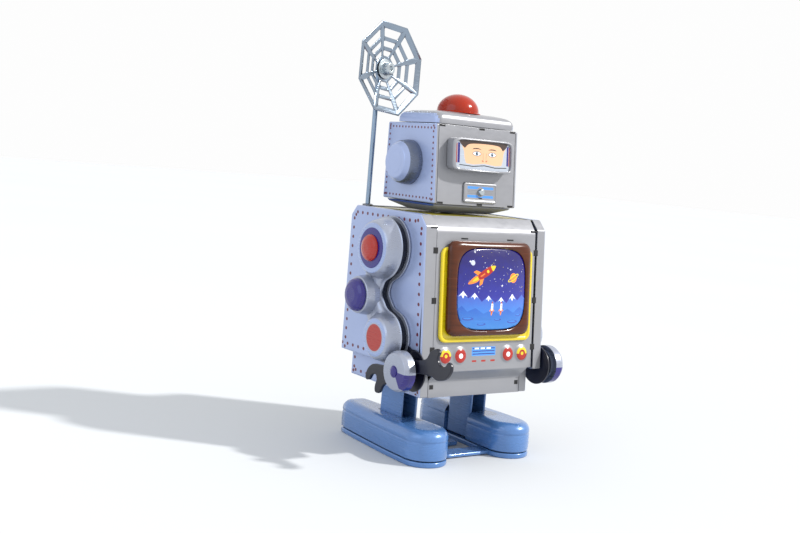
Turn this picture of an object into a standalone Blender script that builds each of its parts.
"""Wind-up tin robot with a television chest, a turning head and a dish antenna.

The toy stands on the floor at Z = 0 and faces -Y, with its right arm towards -X. All sizes are in metres.
"""

from math import atan2, cos, pi, radians, sin, sqrt

import bmesh
import bpy
from mathutils import Matrix, Vector

# Sheet metal and clearances
SHEET = 0.0008
GAP = 0.0003
RUNNING = 0.00006
# Joined bodies are staggered by this much, so that no two of their faces lie in one plane
STAGGER = 0.00002

# Body box: an upper box over a slightly smaller lower one
BODY_WIDTH = 0.0610
BODY_FRONT = -0.01545
BODY_BACK = 0.0382
BODY_TOP = 0.0960
STEP_Z = 0.0360
BODY_FLOOR = 0.0260
CHAMFER_DEEP = 0.0036
CHAMFER_HIGH = 0.0040
LOWER_IN_X = 0.0033
LOWER_IN_FRONT = 0.0045
LOWER_IN_BACK = 0.0037
FRONT_FLANGE = 0.0050
FLANGE = 0.0026
# The front faces lean by this much: forward towards the foot, about a middle height, with the back upright
SLOPE = 0.084
BODY_MIDDLE = 0.0660
HEAD_MIDDLE = 0.1154

# Television on the chest
SURROUND = (0.0460, 0.0365)
SURROUND_Z = 0.0662
BEZEL = (0.0410, 0.0364)
BEZEL_Z = 0.0688
BEZEL_FRONT = -0.0194
SCREEN = (0.0344, 0.0318)

# Head
HEAD_WIDTH = 0.0416
HEAD_DEPTH = 0.0337
HEAD_Y = 0.0139
HEAD_FLOOR = 0.1000
HEAD_TOP = 0.1309
HEAD_FLANGE = 0.0040
HEAD_FRONT_FLANGE = 0.0011
CAP = (0.0388, 0.0276)
CAP_Y = 0.0125
CAP_TOP = 0.1364
LAMP_R = 0.0086
LAMP_TOP = 0.1440
EAR_R = 0.0089
EAR_FACE_R = 0.0069
EAR_PROUD = 0.0070
EAR_Z = 0.1151
VISOR = (0.0308, 0.0128)
VISOR_Z = 0.1199
WINDOW = (0.0276, 0.0112)
BADGE_X = 0.0018
NECK_R = 0.0027

# Dish antenna, on a rod at the body's right rear corner
ROD_X = -0.0250
ROD_Y = 0.0350
ROD_R = 0.0010
DISH_Z = 0.1515
DISH_R = 0.0195
DISH_TURN = radians(13)
DISH_TILT = radians(3)

# Legs and feet
HIP_Y = 0.01175
HIP_Z = 0.0410
HIP_R = 0.0015
LEG_INNER = 0.0139
LEG_OUTER = 0.0219
LEG_FRONT = 0.0040
LEG_BACK = 0.0192
LEG_TOP = 0.0570
LEG_WALL = 0.0010
FOOT_TOP = 0.0140
SOLE_TOP = 0.0020
HEEL_Y = 0.0412

# Arms: shoulder, elbow, forearm and hand lobes as (Y, Z, radius)
SHOULDER = (0.0070, 0.0812, 0.0122)
ELBOW = (0.0133, 0.0621, 0.0078)
FOREARM = (0.0005, 0.0473, 0.0100)
HAND = (-0.0152, 0.0370, 0.0078)
ARM_BACK = 0.0308
ARM_FACE = 0.0405
CLAW_TIP_Y = -0.0412
ELBOW_OUT = 0.0445

# Clockwork, with all its arbors along X, as (Y, Z)
ARBOR = (0.0260, 0.0450)
ARBOR_R = 0.0018
MAIN_TEETH = 36
PINION_TEETH = 10
MAIN_MODULE = 0.0006
CRANK = (0.0140, 0.0450 + sqrt(0.0138**2 - 0.0120**2))
CRANK_R = 0.00125
WHEEL_TEETH = 30
WHEEL_MODULE = 0.0005
GOVERNOR_ANGLE = radians(162)
FRAME_X = 0.0104
FRONT_PILLAR = (0.0000, 0.0360)
REAR_PILLAR = (0.0315, 0.0580)

STEPS = 24
SMALL_STEPS = 16


def clear_scene():
    for obj in list(bpy.data.objects):
        bpy.data.objects.remove(obj, do_unlink=True)
    for mesh in list(bpy.data.meshes):
        bpy.data.meshes.remove(mesh)


def new_object(name, work):
    bmesh.ops.remove_doubles(work, verts=work.verts, dist=1e-7)
    bmesh.ops.recalc_face_normals(work, faces=work.faces)
    mesh = bpy.data.meshes.new(name)
    work.to_mesh(mesh)
    work.free()
    obj = bpy.data.objects.new(name, mesh)
    bpy.context.scene.collection.objects.link(obj)
    return obj


def on_axis(axis, u, v, t):
    """A point at height t along the axis, and at u, v in the plane across it."""
    if axis == "X":
        return (t, u, v)
    if axis == "Y":
        return (u, t, v)
    return (u, v, t)


def loft(name, axis, rings):
    """A closed body through rings of equal length, each a list of (u, v) and a height t."""
    work = bmesh.new()
    loops = []
    for points, t in rings:
        loops.append([work.verts.new(on_axis(axis, u, v, t)) for u, v in points])
    count = len(loops[0])
    for low, high in zip(loops, loops[1:]):
        for i in range(count):
            j = (i + 1) % count
            work.faces.new((low[i], low[j], high[j], high[i]))
    work.faces.new(loops[0])
    work.faces.new(loops[-1])
    return new_object(name, work)


def prism(name, axis, points, low, high):
    return loft(name, axis, [(points, low), (points, high)])


def box(name, low, high):
    points = [(low[0], low[1]), (high[0], low[1]), (high[0], high[1]), (low[0], high[1])]
    return prism(name, "Z", points, low[2], high[2])


def lathe(name, axis, centre, profile, steps=STEPS):
    """A body turned about an axis, from (radius, height) pairs that end on it or close on themselves."""
    work = bmesh.new()
    loops = []
    for r, t in profile:
        if r < 1e-9:
            loops.append([work.verts.new(on_axis(axis, centre[0], centre[1], t))] * steps)
            continue
        ring = []
        for i in range(steps):
            a = 2 * pi * (i + 0.5) / steps
            ring.append(work.verts.new(on_axis(axis, centre[0] + r * cos(a), centre[1] + r * sin(a), t)))
        loops.append(ring)
    if profile[0][0] > 1e-9:
        loops.append(loops[0])
    for low, high in zip(loops, loops[1:]):
        for i in range(steps):
            j = (i + 1) % steps
            corners = []
            for vert in (low[i], low[j], high[j], high[i]):
                if vert not in corners:
                    corners.append(vert)
            if len(corners) > 2:
                work.faces.new(corners)
    return new_object(name, work)


def cylinder(name, axis, centre, radius, low, high, steps=STEPS):
    return lathe(name, axis, centre, [(0, low), (radius, low), (radius, high), (0, high)], steps)


def combine(obj, others, operation):
    """Joins the other bodies to the object, or cuts them from it, and removes them."""
    for other in others:
        modifier = obj.modifiers.new("join", "BOOLEAN")
        modifier.operation = operation
        modifier.solver = "EXACT"
        modifier.object = other
    graph = bpy.context.evaluated_depsgraph_get()
    mesh = bpy.data.meshes.new_from_object(obj.evaluated_get(graph))
    obj.modifiers.clear()
    old = obj.data
    obj.data = mesh
    mesh.name = obj.name
    bpy.data.meshes.remove(old)
    for other in others:
        data = other.data
        bpy.data.objects.remove(other, do_unlink=True)
        bpy.data.meshes.remove(data)
    return obj


def cut(obj, *others):
    return combine(obj, others, "DIFFERENCE")


def join(obj, *others):
    return combine(obj, others, "UNION")


def finish(obj, colour, metallic=0.6, rough=0.35, pivot=None):
    """Gives the piece its own material, and puts its origin on its joint's axis."""
    material = bpy.data.materials.new(obj.name)
    material.use_nodes = True
    shader = material.node_tree.nodes["Principled BSDF"]
    shader.inputs["Base Color"].default_value = (*colour, 1)
    shader.inputs["Metallic"].default_value = metallic
    shader.inputs["Roughness"].default_value = rough
    obj.data.materials.clear()
    obj.data.materials.append(material)
    if pivot:
        obj.data.transform(Matrix.Translation(-Vector(pivot)))
        obj.location = pivot
    return obj


def sloped(obj, middle, front, back):
    """Leans the piece with the front face it belongs to. The back face stays upright."""
    for vert in obj.data.vertices:
        reach = (back - vert.co.y) / (back - front)
        vert.co.y += SLOPE * (vert.co.z - middle) * reach
    return obj


def body_sloped(obj):
    return sloped(obj, BODY_MIDDLE, BODY_FRONT, BODY_BACK)


def head_sloped(obj):
    return sloped(obj, HEAD_MIDDLE, HEAD_Y - HEAD_DEPTH / 2, HEAD_Y + HEAD_DEPTH / 2)


def circle(y, z, r, steps=STEPS):
    return [(y + r * cos(2 * pi * i / steps), z + r * sin(2 * pi * i / steps)) for i in range(steps)]


def rounded(width, height, radius, u=0.0, v=0.0, steps=4):
    """A rectangle with round corners about the point u, v."""
    points = []
    for k, (su, sv) in enumerate(((1, 1), (-1, 1), (-1, -1), (1, -1))):
        for i in range(steps + 1):
            a = pi / 2 * (k + i / steps)
            points.append(
                (
                    u + su * (width / 2 - radius) + radius * cos(a),
                    v + sv * (height / 2 - radius) + radius * sin(a),
                )
            )
    return points


def bulged(width, height, power, u=0.0, v=0.0, steps=32):
    """A superellipse, as an old television tube has."""
    points = []
    for i in range(steps):
        a = 2 * pi * (i + 0.5) / steps
        c, s = cos(a), sin(a)
        points.append(
            (
                u + width / 2 * abs(c) ** (2 / power) * (1 if c > 0 else -1),
                v + height / 2 * abs(s) ** (2 / power) * (1 if s > 0 else -1),
            )
        )
    return points


def strip(points, thick):
    """The outline of a bent sheet: the polyline and its offset to the left by the thickness."""
    offsets = []
    for i, (u, v) in enumerate(points):
        before = points[max(i - 1, 0)]
        after = points[min(i + 1, len(points) - 1)]
        normals = []
        for a, b in ((before, (u, v)), ((u, v), after)):
            length = sqrt((b[0] - a[0]) ** 2 + (b[1] - a[1]) ** 2)
            if length > 1e-9:
                normals.append((-(b[1] - a[1]) / length, (b[0] - a[0]) / length))
        nu = sum(n[0] for n in normals) / len(normals)
        nv = sum(n[1] for n in normals) / len(normals)
        scale = thick / (nu * nu + nv * nv)
        offsets.append((u + nu * scale, v + nv * scale))
    return points + offsets[::-1]


def gear_outline(centre, teeth, module, phase):
    """Teeth with sloping sides and a little backlash, one of them centred on the phase angle."""
    radius = teeth * module / 2
    pitch = 2 * pi / teeth
    root, tip = radius - 1.15 * module, radius + 0.8 * module
    points = []
    for i in range(teeth):
        for r, share in ((root, -0.24), (tip, -0.10), (tip, 0.10), (root, 0.24)):
            a = phase + pitch * (i + share)
            points.append((centre[0] + r * cos(a), centre[1] + r * sin(a)))
    return points


# Body


def side_outline(inset):
    """The upper box's outline as seen from the side, with chamfers along the top edges."""
    front, back = BODY_FRONT + inset, BODY_BACK - inset
    low, high = STEP_Z + inset, BODY_TOP - inset
    return [
        (front, low),
        (back, low),
        (back, BODY_TOP - CHAMFER_HIGH - inset * 0.4),
        (BODY_BACK - CHAMFER_DEEP - inset * 0.4, high),
        (BODY_FRONT + CHAMFER_DEEP + inset * 0.4, high),
        (front, BODY_TOP - CHAMFER_HIGH - inset * 0.4),
    ]


def side_panel(name, side):
    """A pressed tray: the side of the upper box, its flanges, and the stepped-in lower side."""
    outer = side * BODY_WIDTH / 2
    flange = outer - side * FLANGE
    obj = prism(name, "X", side_outline(0), outer, flange)
    hollow = prism("hollow", "X", side_outline(SHEET), outer - side * SHEET, flange - side * 0.001)
    cut(obj, hollow)
    front = box(
        "front_flange",
        (min(outer, outer - side * FRONT_FLANGE), BODY_FRONT, STEP_Z),
        (max(outer, outer - side * FRONT_FLANGE), BODY_FRONT + SHEET, BODY_TOP - CHAMFER_HIGH),
    )
    lower = side * (BODY_WIDTH / 2 - LOWER_IN_X)
    inner = lower - side * 0.0039
    y0, y1 = BODY_FRONT + LOWER_IN_FRONT, BODY_BACK - LOWER_IN_BACK
    z1 = STEP_Z + SHEET / 2
    ledge = box(
        "ledge",
        (min(outer, lower - side * SHEET), BODY_FRONT, STEP_Z),
        (max(outer, lower - side * SHEET), BODY_BACK, STEP_Z + SHEET),
    )
    plate = box(
        "plate",
        (min(lower, lower - side * SHEET), y0, BODY_FLOOR),
        (max(lower, lower - side * SHEET), y1, z1),
    )
    flange_front = box(
        "flange_front", (min(lower, inner), y0, BODY_FLOOR), (max(lower, inner), y0 + SHEET, z1)
    )
    flange_back = box(
        "flange_back", (min(lower, inner), y1 - SHEET, BODY_FLOOR), (max(lower, inner), y1, z1)
    )
    join(obj, front, ledge, plate, flange_front, flange_back)
    body_sloped(obj)
    holes = [
        cylinder(
            "hole", "X", SHOULDER[:2], 0.002 + RUNNING, side * 0.020, side * 0.034, SMALL_STEPS
        )
    ]
    if side > 0:
        holes.append(cylinder("arbor_hole", "X", ARBOR, 0.0023, 0.020, 0.034, SMALL_STEPS))
    cut(obj, *holes)
    return finish(obj, (0.42, 0.47, 0.62))


def upright(name, face, inward, lower_in, top_in):
    """The front or back sheet: a stepped-in lower strip, a flat wall and the chamfer above it."""
    lower_x = BODY_WIDTH / 2 - LOWER_IN_X - 0.0039 - GAP
    wall_x = BODY_WIDTH / 2 - GAP - top_in
    lean = face + inward * lower_in
    wall = [
        (face, STEP_Z + SHEET + GAP),
        (face, BODY_TOP - CHAMFER_HIGH),
        (face + inward * (CHAMFER_DEEP - 0.0002), BODY_TOP - 0.00014),
    ]
    low = [(lean, BODY_FLOOR), (lean, STEP_Z - 0.0010), (face, STEP_Z + 0.0006)]
    thick = -inward * SHEET
    obj = prism(name, "X", strip(wall, thick), -wall_x, wall_x)
    lower = prism("lower", "X", strip(low + [(face, STEP_Z + 0.0030)], thick), -lower_x, lower_x)
    return body_sloped(join(obj, lower))


def body_sheets():
    front = upright("front_panel", BODY_FRONT, 1, LOWER_IN_FRONT, FRONT_FLANGE)
    finish(front, (0.50, 0.51, 0.54))
    back = upright("back_panel", BODY_BACK, -1, LOWER_IN_BACK, FLANGE)
    cut(back, cylinder("hole", "Z", (ROD_X, ROD_Y), 0.0022, 0.090, 0.098, SMALL_STEPS))
    finish(back, (0.50, 0.51, 0.54))
    half = BODY_WIDTH / 2 - FLANGE - GAP
    top = box(
        "top_plate",
        (-half, BODY_FRONT + CHAMFER_DEEP + SHEET, BODY_TOP - SHEET),
        (half, BODY_BACK - CHAMFER_DEEP - SHEET, BODY_TOP),
    )
    body_sloped(top)
    neck_hole = cylinder("hole", "Z", (0, HEAD_Y), NECK_R + RUNNING, 0.090, 0.098, STEPS)
    bush_hole = cylinder("hole", "Z", (ROD_X, ROD_Y), 0.0022, 0.090, 0.098, SMALL_STEPS)
    cut(top, neck_hole, bush_hole)
    finish(top, (0.55, 0.50, 0.08))
    half = BODY_WIDTH / 2 - LOWER_IN_X - SHEET - GAP
    base = box(
        "base_plate",
        (-half, BODY_FRONT + LOWER_IN_FRONT + SHEET + GAP, BODY_FLOOR + 0.0009),
        (half, BODY_BACK - LOWER_IN_BACK - SHEET - GAP, BODY_FLOOR + 0.0009 + SHEET),
    )
    body_sloped(base)
    slots = []
    for side in (-1, 1):
        xs = sorted((side * (LEG_INNER - 0.0005), side * (LEG_OUTER + 0.0005)))
        slots.append(
            box("slot", (xs[0], LEG_FRONT - 0.0016, 0.02), (xs[1], LEG_BACK + 0.0016, 0.03))
        )
    cut(base, *slots)
    finish(base, (0.30, 0.31, 0.33))


def television():
    face = BODY_FRONT - GAP
    back = face - 0.0006
    surround = prism("yellow_surround", "Y", rounded(*SURROUND, 0.003, 0, SURROUND_Z), back, face)
    finish(body_sloped(surround), (0.80, 0.68, 0.05), 0.3)
    seat = back - GAP
    width, height = BEZEL
    bezel = loft(
        "tv_bezel",
        "Y",
        [
            (rounded(width, height, 0.0035, 0, BEZEL_Z), seat),
            (rounded(width, height, 0.0035, 0, BEZEL_Z), seat - 0.0012),
            (rounded(width - 0.0016, height - 0.0016, 0.0033, 0, BEZEL_Z), BEZEL_FRONT + 0.0008),
            (rounded(width - 0.0044, height - 0.0034, 0.0030, 0, BEZEL_Z), BEZEL_FRONT),
        ],
    )
    window = prism("window", "Y", bulged(*SCREEN, 4.2, 0, BEZEL_Z), -0.030, -0.010)
    cut(bezel, window)
    finish(body_sloped(bezel), (0.12, 0.045, 0.025), 0.0, 0.3)
    sizes = ((1.0, seat), (1.0, -0.0188), (0.86, -0.0199), (0.60, -0.0206), (0.28, -0.0209))
    rings = []
    for share, y in sizes:
        wide, high = SCREEN[0] - 2 * GAP, SCREEN[1] - 2 * GAP
        rings.append((bulged(wide * share, high * share, 4.2, 0, BEZEL_Z), y))
    finish(body_sloped(loft("tv_screen", "Y", rings)), (0.05, 0.05, 0.35), 0.0, 0.08)


# Head


def head_side(name, side):
    """A shallow tray for the side of the head."""
    outer = side * HEAD_WIDTH / 2
    flange = outer - side * HEAD_FLANGE
    half = HEAD_DEPTH / 2

    def outline(inset):
        return [
            (HEAD_Y - half + inset, HEAD_FLOOR + inset),
            (HEAD_Y + half - inset, HEAD_FLOOR + inset),
            (HEAD_Y + half - inset, HEAD_TOP - inset),
            (HEAD_Y - half + inset, HEAD_TOP - inset),
        ]

    obj = prism(name, "X", outline(0), outer, flange)
    cut(obj, prism("hollow", "X", outline(SHEET), outer - side * SHEET, flange - side * 0.001))
    front = HEAD_Y - half
    xs = sorted((outer - side * HEAD_FRONT_FLANGE, flange - side * 0.001))
    seat = box(
        "seat",
        (xs[0], front - 0.001, HEAD_FLOOR - 0.001),
        (xs[1], front + SHEET + GAP, HEAD_TOP + 0.001),
    )
    cut(obj, seat)
    return finish(head_sloped(obj), (0.42, 0.47, 0.62), pivot=(0, HEAD_Y, HEAD_FLOOR))


def head_sheets():
    pivot = (0, HEAD_Y, HEAD_FLOOR)
    for name, side, flange in (("head_front", -1, HEAD_FRONT_FLANGE), ("head_back", 1, HEAD_FLANGE)):
        half_x = HEAD_WIDTH / 2 - flange - GAP
        ys = sorted((HEAD_Y + side * HEAD_DEPTH / 2, HEAD_Y + side * (HEAD_DEPTH / 2 - SHEET)))
        sheet = box(name, (-half_x, ys[0], HEAD_FLOOR), (half_x, ys[1], HEAD_TOP))
        finish(head_sloped(sheet), (0.50, 0.51, 0.54), pivot=pivot)
    rings = []
    for inset, z in ((0, HEAD_TOP + GAP), (0, 0.1342), (0.0012, 0.1356), (0.0040, CAP_TOP)):
        rings.append(
            (rounded(CAP[0] - inset, CAP[1] - inset, 0.0024 - inset * 0.2, 0, CAP_Y, 3), z)
        )
    finish(loft("head_cap", "Z", rings), (0.48, 0.50, 0.56), pivot=pivot)
    under = loft(
        "head_underside",
        "Z",
        [
            (rounded(0.0290, 0.0180, 0.002, 0, HEAD_Y, 2), BODY_TOP + 0.0004),
            (rounded(0.0400, 0.0300, 0.002, 0, HEAD_Y, 2), HEAD_FLOOR - GAP),
        ],
    )
    head_sloped(under)
    cut(under, cylinder("hole", "Z", (0, HEAD_Y), NECK_R + GAP, 0.09, 0.11))
    finish(under, (0.16, 0.17, 0.20), pivot=pivot)
    low, high = BODY_TOP - 0.0032, HEAD_FLOOR + 0.0018
    profile = [
        (0, low),
        (0.0050, low),
        (0.0050, low + 0.0016),
        (NECK_R, low + 0.0016),
        (NECK_R, high - 0.0014),
        (0.0045, high - 0.0014),
        (0.0045, high),
        (0, high),
    ]
    finish(lathe("neck_pivot", "Z", (0, HEAD_Y), profile), (0.45, 0.45, 0.46), 1.0, pivot=pivot)


def head_trim():
    pivot = (0, HEAD_Y, HEAD_FLOOR)
    low = CAP_TOP + GAP
    dome = [(0, low), (LAMP_R, low), (LAMP_R, low + 0.0010)]
    for i in range(1, 6):
        a = pi / 2 * i / 5
        dome.append((LAMP_R * cos(a), low + 0.0010 + (LAMP_TOP - low - 0.0010) * sin(a)))
    dome[-1] = (0, LAMP_TOP)
    finish(lathe("lamp", "Z", (0, CAP_Y), dome, 20), (0.60, 0.07, 0.03), 0.0, 0.12, pivot)
    for name, side in (("right_ear", -1), ("left_ear", 1)):
        x = side * (HEAD_WIDTH / 2 + GAP)
        profile = [
            (0, x),
            (EAR_R, x),
            (EAR_R, x + side * 0.0016),
            (EAR_R - 0.0006, x + side * 0.0052),
            (EAR_FACE_R, x + side * EAR_PROUD),
            (0, x + side * EAR_PROUD),
        ]
        ear = lathe(name, "X", (HEAD_Y + 0.0002, EAR_Z), profile)
        finish(ear, (0.42, 0.47, 0.62), pivot=pivot)
    face = HEAD_Y - HEAD_DEPTH / 2 - GAP
    half = VISOR[0] / 2
    bow = [(half, face)]
    for i in range(9):
        s = 1 - i / 4
        bow.append((half * 0.985 * s, face - 0.0040 - 0.0012 * (1 - s * s)))
    bow.append((-half, face))
    frame = prism("visor_frame", "Z", bow, VISOR_Z - VISOR[1] / 2, VISOR_Z + VISOR[1] / 2)
    window = prism("window", "Y", rounded(*WINDOW, 0.0015, 0, VISOR_Z, 2), -0.02, 0.01)
    cut(frame, window)
    finish(head_sloped(frame), (0.50, 0.51, 0.54), pivot=pivot)
    outline = rounded(WINDOW[0] - 2 * GAP, WINDOW[1] - 2 * GAP, 0.0012, 0, VISOR_Z, 2)
    plate = prism("face_plate", "Y", outline, face - 0.0024, face)
    finish(head_sloped(plate), (0.62, 0.42, 0.30), 0.0, pivot=pivot)
    outline = rounded(0.0170, 0.0078, 0.001, BADGE_X, 0.1052, 2)
    badge = prism("chin_badge", "Y", outline, face - 0.0007, face)
    stud = cylinder("stud", "Y", (BADGE_X, 0.1056), 0.0013, face - 0.0016, face - 0.0002, SMALL_STEPS)
    join(badge, stud)
    finish(head_sloped(badge), (0.20, 0.22, 0.45), 0.3, pivot=pivot)


# Antenna


def dish_frame():
    """The dish's own axes: its facing direction is its Z, and the hub stands on the rod's axis."""
    facing = Vector((sin(DISH_TURN) * cos(DISH_TILT), -cos(DISH_TURN) * cos(DISH_TILT), sin(DISH_TILT)))
    across = Vector((0, 0, 1)).cross(facing).normalized()
    up = facing.cross(across)
    frame = Matrix((across, up, facing)).transposed().to_4x4()
    frame.translation = (ROD_X, ROD_Y, DISH_Z)
    return frame


def dish():
    rings = []
    for r, t in ((0.0023, 0.0026), (DISH_R, 0.0063), (DISH_R, 0.0069), (0.0023, 0.0032)):
        rings.append([(r * cos(pi / 4 * i), r * sin(pi / 4 * i), t) for i in range(8)])
    work = bmesh.new()
    loops = [[work.verts.new(p) for p in ring] for ring in rings]
    for k in range(4):
        low, high = loops[k], loops[(k + 1) % 4]
        for i in range(8):
            j = (i + 1) % 8
            work.faces.new((low[i], low[j], high[j], high[i]))
    obj = new_object("dish", work)
    work = bmesh.new()
    for r0, r1 in ((0.0062, 0.0092), (0.0104, 0.0134), (0.0146, 0.0176)):
        for i in range(8):
            low, high = pi / 4 * i, pi / 4 * (i + 1)
            corners = []
            for r, a0, a1 in ((r0, low, high), (r1, low, high)):
                p0, p1 = Vector((r * cos(a0), r * sin(a0))), Vector((r * cos(a1), r * sin(a1)))
                rib = 0.0006 / (p1 - p0).length
                corners.append((p0.lerp(p1, rib), p1.lerp(p0, rib)))
            outline = [corners[0][0], corners[0][1], corners[1][1], corners[1][0]]
            bottom = [work.verts.new((p.x, p.y, 0)) for p in outline]
            top = [work.verts.new((p.x, p.y, 0.012)) for p in outline]
            work.faces.new(bottom[::-1])
            work.faces.new(top)
            for k in range(4):
                m = (k + 1) % 4
                work.faces.new((bottom[k], bottom[m], top[m], top[k]))
    cut(obj, new_object("slots", work))
    obj.data.transform(dish_frame())
    finish(obj, (0.60, 0.62, 0.64), 0.9, pivot=(ROD_X, ROD_Y, DISH_Z))


def antenna():
    pivot = (ROD_X, ROD_Y, DISH_Z)
    centre = (ROD_X, ROD_Y)
    inner = ROD_R + RUNNING
    bush = [
        (inner, 0.0910),
        (0.0019, 0.0910),
        (0.0019, BODY_TOP + 0.0004),
        (0.0026, BODY_TOP + 0.0004),
        (0.0026, BODY_TOP + 0.0014),
        (inner, BODY_TOP + 0.0014),
    ]
    finish(lathe("antenna_bush", "Z", centre, bush, SMALL_STEPS), (0.30, 0.31, 0.33), 0.9)
    rod = [
        (0, 0.0870),
        (0.0020, 0.0870),
        (0.0020, 0.0886),
        (ROD_R, 0.0886),
        (ROD_R, DISH_Z + 0.0012),
        (0, DISH_Z + 0.0012),
    ]
    finish(lathe("antenna_rod", "Z", centre, rod, SMALL_STEPS), (0.55, 0.60, 0.68), 0.9, pivot=pivot)
    profile = [
        (0, 0.00135),
        (0.0031, 0.00135),
        (0.0031, 0.00225),
        (0.0019, 0.00225),
        (0.0019, 0.0036),
        (0.0029, 0.0036),
        (0.0025, 0.0048),
        (0, 0.0048),
    ]
    hub = lathe("dish_hub", "Z", (0, 0), profile, SMALL_STEPS)
    hub.data.transform(dish_frame())
    finish(hub, (0.60, 0.62, 0.64), 0.9, pivot=pivot)
    dish()


# Legs


def foot_outline(side, inset=0.0):
    """A shoe's outline for one foot: a wide round toe and a narrower heel."""
    points = []
    centre, radius = (0.0210, -0.0115), 0.0093 - inset
    for i in range(13):
        a = pi * i / 12
        points.append((centre[0] - radius * cos(a), centre[1] - radius * sin(a)))
    points += [
        (0.0303 - inset, 0.0010),
        (0.0274 - inset, 0.0350),
        (0.0266 - inset, HEEL_Y - 0.0022 - inset),
        (0.0242 - inset, HEEL_Y - inset),
        (0.0168 + inset, HEEL_Y - inset),
        (0.0146 + inset, HEEL_Y - 0.0018 - inset),
        (0.0138 + inset, 0.0370),
        (0.0131 + inset, 0.0200),
    ]
    return [(side * x, y) for x, y in points]


def leg(prefix, side):
    pivot = (0, HIP_Y, HIP_Z)
    low = SOLE_TOP + 0.0009
    xs = sorted((side * LEG_INNER, side * LEG_OUTER))
    obj = box(prefix + "_leg", (xs[0], LEG_FRONT, low), (xs[1], LEG_BACK, LEG_TOP))
    channel = box(
        "channel",
        (xs[0] + LEG_WALL, LEG_FRONT - 0.001, low - 0.001),
        (xs[1] - LEG_WALL, LEG_BACK - LEG_WALL, LEG_TOP + 0.001),
    )
    hole = cylinder("hole", "X", (HIP_Y, HIP_Z), HIP_R + RUNNING, xs[0] - 0.001, xs[1] + 0.001, SMALL_STEPS)
    cut(obj, channel, hole)
    finish(obj, (0.10, 0.26, 0.60), 0.2, pivot=pivot)
    shoe = loft(
        prefix + "_foot",
        "Z",
        [
            (foot_outline(side), SOLE_TOP + 0.0006),
            (foot_outline(side, 0.0004), FOOT_TOP - 0.0014),
            (foot_outline(side, 0.0016), FOOT_TOP),
        ],
    )
    inside = prism("inside", "Z", foot_outline(side, 0.0026), 0.001, FOOT_TOP - 0.0010)
    xs = sorted((side * (LEG_INNER - 0.003), side * (LEG_OUTER + GAP)))
    notch = box("notch", (xs[0], LEG_FRONT - GAP, 0), (xs[1], LEG_BACK + GAP, 0.02))
    cut(shoe, inside, notch)
    finish(shoe, (0.10, 0.26, 0.60), 0.2, pivot=pivot)
    sole = prism(prefix + "_sole", "Z", foot_outline(side), 0, SOLE_TOP)
    if side < 0:
        tongue = rounded(0.0250, 0.0085, 0.0020, -0.0035, 0.0073, 2)
    else:
        tongue = rounded(0.0260, 0.0075, 0.0020, 0.0025, -0.0083, 2)
    join(sole, prism("tongue", "Z", tongue, 0.0004, SOLE_TOP - 0.0002))
    finish(sole, (0.10, 0.26, 0.60), 0.2, pivot=pivot)


# Arms


def tangent_bridge(a, b):
    """The four corners that join two lobes along their outer tangents, pulled in to leave a waist."""
    angle = atan2(b[1] - a[1], b[0] - a[0])
    corners = []
    for lobe, sign in ((a, 1), (b, 1), (b, -1), (a, -1)):
        r = lobe[2] * 0.72
        corners.append((lobe[0] + sign * r * -sin(angle), lobe[1] + sign * r * cos(angle)))
    return corners


def arm_body(name, inset, low, lobes_out):
    """Three lobes in a row with bridges between them. Each lobe has its own height."""
    parts = []
    for k, (lobe, out) in enumerate(zip((SHOULDER, ELBOW, FOREARM), lobes_out)):
        r = lobe[2] - inset
        back = low + STAGGER * k
        profile = [(0, back), (r, back), (r, out - 0.0026), (r - 0.0017, out), (0, out)]
        parts.append(lathe(name, "X", lobe[:2], profile))
    bridge_out = min(lobes_out) - 0.0008
    for k, (a, b) in enumerate(((SHOULDER, ELBOW), (ELBOW, FOREARM))):
        a = (a[0], a[1], a[2] - inset * 1.4)
        b = (b[0], b[1], b[2] - inset * 1.4)
        ends = (low + STAGGER * (3 + k), bridge_out - STAGGER * k)
        parts.append(prism("bridge", "X", tangent_bridge(a, b), *ends))
    return join(parts[0], *parts[1:])


def arm_shell(name):
    """The left arm's pressed shell, open at the back."""
    low = ARM_BACK + SHEET + GAP
    shell = arm_body(name, 0, low, (ARM_FACE, 0.0386, ARM_FACE))
    cut(shell, arm_body("inside", 0.0010, low - 0.001, (ARM_FACE - 0.0010, 0.0376, ARM_FACE - 0.0010)))
    disc = [(0, 0.0400), (0.0053, 0.0400), (0.0053, 0.0412), (0.0044, 0.0416), (0, 0.0416)]
    return join(shell, lathe("disc", "X", FOREARM[:2], disc))


def mirrored(obj):
    """The same piece for the other side of the toy."""
    obj.data.transform(Matrix.Scale(-1, 4, (1, 0, 0)))
    obj.data.flip_normals()
    return obj


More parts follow.
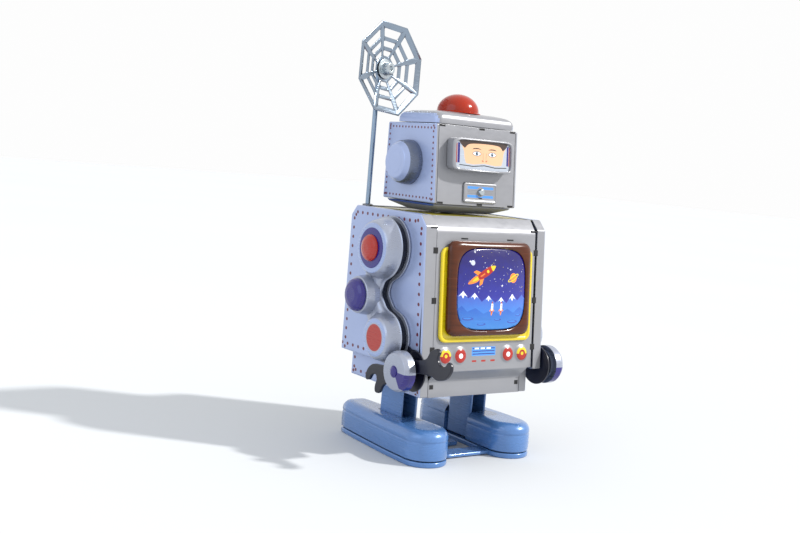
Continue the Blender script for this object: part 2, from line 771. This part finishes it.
def arm(prefix, side):
    pivot = (side * ARM_BACK, SHOULDER[0], SHOULDER[1])
    shell = arm_shell(prefix + "_arm_shell")
    if side < 0:
        mirrored(shell)
    finish(shell, (0.50, 0.52, 0.60), pivot=pivot)
    plates = []
    for k, lobe in enumerate((SHOULDER, ELBOW, FOREARM, HAND)):
        ends = (side * (ARM_BACK + STAGGER * k), side * (ARM_BACK + SHEET - STAGGER * k))
        name = prefix + "_arm_back_plate" if k == 0 else "plate"
        plates.append(cylinder(name, "X", lobe[:2], lobe[2] - 0.0006, *ends))
    for k, (a, b) in enumerate(((SHOULDER, ELBOW), (ELBOW, FOREARM), (FOREARM, HAND))):
        inset = STAGGER * (4 + k)
        ends = (side * (ARM_BACK + inset), side * (ARM_BACK + SHEET - inset))
        plates.append(prism("bridge", "X", tangent_bridge(a, b), *ends))
    join(plates[0], *plates[1:])
    cut(plates[0], cylinder("hole", "X", SHOULDER[:2], 0.0023, side * 0.029, side * 0.034, SMALL_STEPS))
    finish(plates[0], (0.03, 0.035, 0.06), pivot=pivot)
    pin = [
        (0, side * 0.0278),
        (0.0042, side * 0.0278),
        (0.0042, side * 0.0292),
        (0.0020, side * 0.0292),
        (0.0020, side * 0.0345),
        (0, side * 0.0345),
    ]
    stud = lathe(prefix + "_shoulder_pivot", "X", SHOULDER[:2], pin, SMALL_STEPS)
    finish(stud, (0.4, 0.4, 0.42), 1.0, pivot=pivot)
    arm_trim(prefix, side, pivot)
    hand(prefix, side, pivot)


def arm_trim(prefix, side, pivot):
    start = ARM_FACE + GAP
    dome = [(0, side * start), (0.0074, side * start), (0.0074, side * (start + 0.0004))]
    dome += [(0.0052, side * (start + 0.0006)), (0.0050, side * (start + 0.0010))]
    dome += [(0.0036, side * (start + 0.0018)), (0, side * (start + 0.0023))]
    finish(lathe(prefix + "_shoulder_dome", "X", SHOULDER[:2], dome), (0.50, 0.06, 0.03), 0.1, 0.2, pivot)
    start = 0.0386 + GAP
    knob = [
        (0, side * start),
        (0.0070, side * start),
        (0.0070, side * (start + 0.0024)),
        (0.0062, side * (start + 0.0042)),
        (0.0046, side * (ELBOW_OUT - 0.0004)),
        (0, side * ELBOW_OUT),
    ]
    finish(lathe(prefix + "_elbow_dome", "X", ELBOW[:2], knob), (0.06, 0.04, 0.28), 0.1, 0.2, pivot)


def hand(prefix, side, pivot):
    r = HAND[2]
    profile = [
        (0, side * 0.0350),
        (r, side * 0.0350),
        (r, side * 0.0385),
        (r - 0.0015, side * 0.0402),
        (0, side * 0.0402),
    ]
    finish(lathe(prefix + "_hand", "X", HAND[:2], profile), (0.50, 0.52, 0.60), pivot=pivot)
    front = [
        (-0.0140, 0.0410),
        (-0.0203, 0.0423),
        (-0.0260, 0.0442),
        (-0.0278, 0.0470),
        (-0.0315, 0.0489),
        (-0.0336, 0.0478),
        (-0.0324, 0.0459),
        (-0.0329, 0.0439),
        (-0.0351, 0.0427),
        (-0.0376, 0.0435),
        (-0.0388, 0.0453),
        (CLAW_TIP_Y, 0.0444),
        (-0.0409, 0.0417),
        (-0.0378, 0.0384),
        (-0.0332, 0.0371),
        (-0.0295, 0.0380),
        (-0.0206, 0.0373),
        (-0.0140, 0.0340),
    ]
    rear = [
        (-0.0120, 0.0385),
        (0.0025, 0.0360),
        (0.0081, 0.0356),
        (0.0117, 0.0332),
        (0.0130, 0.0297),
        (0.0122, 0.0281),
        (0.0097, 0.0288),
        (0.0085, 0.0310),
        (0.0057, 0.0318),
        (0.0047, 0.0303),
        (0.0059, 0.0274),
        (0.0057, 0.0248),
        (0.0039, 0.0244),
        (0.0020, 0.0252),
        (-0.0009, 0.0290),
        (-0.0120, 0.0330),
    ]
    claws = [("_rear_claw", rear)]
    if side < 0:
        claws.append(("_front_claw", front))
    for name, points in claws:
        claw = prism(prefix + name, "X", points, side * 0.0332, side * 0.0346)
        finish(claw, (0.03, 0.035, 0.06), 0.6, pivot=pivot)


# Clockwork


def spring_outline():
    """A flat coil of spring strip, from just off the arbor to the last turn."""
    inner, outer = [], []
    turns, count = 3.25, 58
    for i in range(count + 1):
        a = 2 * pi * turns * i / count
        r = 0.0030 + 0.0058 * i / count
        for r, side in ((r - 0.00025, inner), (r + 0.00025, outer)):
            side.append((ARBOR[0] + r * cos(a), ARBOR[1] + r * sin(a)))
    return inner + outer[::-1]


def frame_plates():
    governor = governor_centre()
    outline = [(-0.0040, 0.0320), (0.0330, 0.0320), (0.0350, 0.0480), (0.0350, 0.0612), (0.0000, 0.0612)]
    outline.append((-0.0040, 0.0560))
    for name, side in (("right_frame_plate", -1), ("left_frame_plate", 1)):
        plate = prism(name, "X", outline, side * FRAME_X, side * (FRAME_X + SHEET))
        sizes = (
            ((HIP_Y, HIP_Z), HIP_R + RUNNING),
            (CRANK, CRANK_R + RUNNING),
            (governor, 0.0008 + RUNNING),
            (ARBOR, ARBOR_R + RUNNING),
            (FRONT_PILLAR, 0.0014),
            (REAR_PILLAR, 0.0014),
        )
        holes = []
        for centre, radius in sizes:
            holes.append(cylinder("hole", "X", centre, radius, side * 0.009, side * 0.013, SMALL_STEPS))
        cut(plate, *holes)
        finish(plate, (0.55, 0.50, 0.35), 1.0)
    for name, centre in (("front_pillar", FRONT_PILLAR), ("rear_pillar", REAR_PILLAR)):
        post = [
            (0, -0.0128),
            (0.0012, -0.0128),
            (0.0012, -FRAME_X + GAP),
            (0.0020, -FRAME_X + GAP),
            (0.0020, FRAME_X - GAP),
            (0.0012, FRAME_X - GAP),
            (0.0012, 0.0128),
            (0, 0.0128),
        ]
        finish(lathe(name, "X", centre, post, 12), (0.55, 0.50, 0.35), 1.0)
    axle = cylinder("hip_axle", "X", (HIP_Y, HIP_Z), HIP_R, -0.0240, 0.0240, SMALL_STEPS)
    finish(axle, (0.4, 0.4, 0.42), 1.0)
    finish(prism("mainspring", "X", spring_outline(), -0.0045, 0.0045), (0.20, 0.24, 0.34), 1.0)


def governor_centre():
    reach = (WHEEL_TEETH + PINION_TEETH) * WHEEL_MODULE / 2
    return (CRANK[0] + reach * cos(GOVERNOR_ANGLE), CRANK[1] + reach * sin(GOVERNOR_ANGLE))


def winding():
    pivot = (0, *ARBOR)
    arbor = [(0, -0.0118), (ARBOR_R, -0.0118), (ARBOR_R, 0.0345), (0, 0.0345)]
    finish(lathe("winding_arbor", "X", ARBOR, arbor, SMALL_STEPS), (0.4, 0.4, 0.42), 1.0, pivot=pivot)
    mesh_angle = atan2(CRANK[1] - ARBOR[1], CRANK[0] - ARBOR[0])
    gear = prism("main_gear", "X", gear_outline(ARBOR, MAIN_TEETH, MAIN_MODULE, mesh_angle), -0.0080, -0.0065)
    cut(gear, cylinder("hole", "X", ARBOR, ARBOR_R + 0.0001, -0.009, -0.005, SMALL_STEPS))
    finish(gear, (0.60, 0.45, 0.15), 1.0, pivot=pivot)
    hub = [
        (ARBOR_R + GAP, 0.0312),
        (0.0030, 0.0312),
        (0.0030, 0.0375),
        (0, 0.0375),
        (0, 0.0348),
        (ARBOR_R + GAP, 0.0348),
    ]
    key = lathe("winding_key", "X", ARBOR, hub, SMALL_STEPS)
    wings = []
    for side in (-1, 1):
        lobe = cylinder(
            "lobe", "Y", (0.0385, ARBOR[1] + side * 0.0050), 0.0038, ARBOR[0] - 0.0006, ARBOR[0] + 0.0006, 20
        )
        wings.append(lobe)
    web = box(
        "web",
        (0.0360, ARBOR[0] - 0.0006, ARBOR[1] - 0.0050),
        (0.0410, ARBOR[0] + 0.0006, ARBOR[1] + 0.0050),
    )
    join(key, web, *wings)
    eyes = []
    for side in (-1, 1):
        centre = (0.0388, ARBOR[1] + side * 0.0052)
        eyes.append(cylinder("eye", "Y", centre, 0.0019, ARBOR[0] - 0.002, ARBOR[0] + 0.002, 12))
    cut(key, *eyes)
    finish(key, (0.50, 0.50, 0.52), 1.0, pivot=pivot)


def going_train():
    pivot = (0, *CRANK)
    shaft = [(0, -0.0127), (CRANK_R, -0.0127), (CRANK_R, 0.0127), (0, 0.0127)]
    obj = lathe("crank_shaft", "X", CRANK, shaft, SMALL_STEPS)
    mesh_angle = atan2(ARBOR[1] - CRANK[1], ARBOR[0] - CRANK[0])
    pinion_phase = mesh_angle + pi / PINION_TEETH
    pinion = prism(
        "pinion", "X", gear_outline(CRANK, PINION_TEETH, MAIN_MODULE, pinion_phase), -0.0080, -0.0065
    )
    wheel = prism(
        "wheel", "X", gear_outline(CRANK, WHEEL_TEETH, WHEEL_MODULE, GOVERNOR_ANGLE), 0.0066, 0.0078
    )
    parts = [pinion, wheel]
    throw = sqrt((CRANK[0] - HIP_Y) ** 2 + (CRANK[1] - HIP_Z) ** 2) * sin(radians(4))
    for side in (-1, 1):
        parts.append(cylinder("cheek", "X", CRANK, 0.0030, side * 0.0119, side * 0.0126, 20))
        pin = (CRANK[0] + side * throw, CRANK[1])
        parts.append(cylinder("pin", "X", pin, 0.0009, side * 0.0122, side * 0.0135, 12))
    join(obj, *parts)
    finish(obj, (0.60, 0.45, 0.15), 1.0, pivot=pivot)
    centre = governor_centre()
    pivot = (0, *centre)
    obj = cylinder("governor", "X", centre, 0.0008, -0.0118, 0.0118, SMALL_STEPS)
    phase = GOVERNOR_ANGLE + pi + pi / PINION_TEETH
    pinion = prism("pinion", "X", gear_outline(centre, PINION_TEETH, WHEEL_MODULE, phase), 0.0066, 0.0078)
    vane = box(
        "vane",
        (-0.0045, centre[0] - 0.0055, centre[1] - 0.0004),
        (0.0045, centre[0] + 0.0055, centre[1] + 0.0004),
    )
    join(obj, pinion, vane)
    finish(obj, (0.45, 0.45, 0.46), 1.0, pivot=pivot)


def build():
    clear_scene()
    body_sheets()
    side_panel("right_side_panel", -1)
    side_panel("left_side_panel", 1)
    television()
    head_sheets()
    head_side("head_right_side", -1)
    head_side("head_left_side", 1)
    head_trim()
    antenna()
    for prefix, side in (("right", -1), ("left", 1)):
        leg(prefix, side)
        arm(prefix, side)
    frame_plates()
    winding()
    going_train()


build()
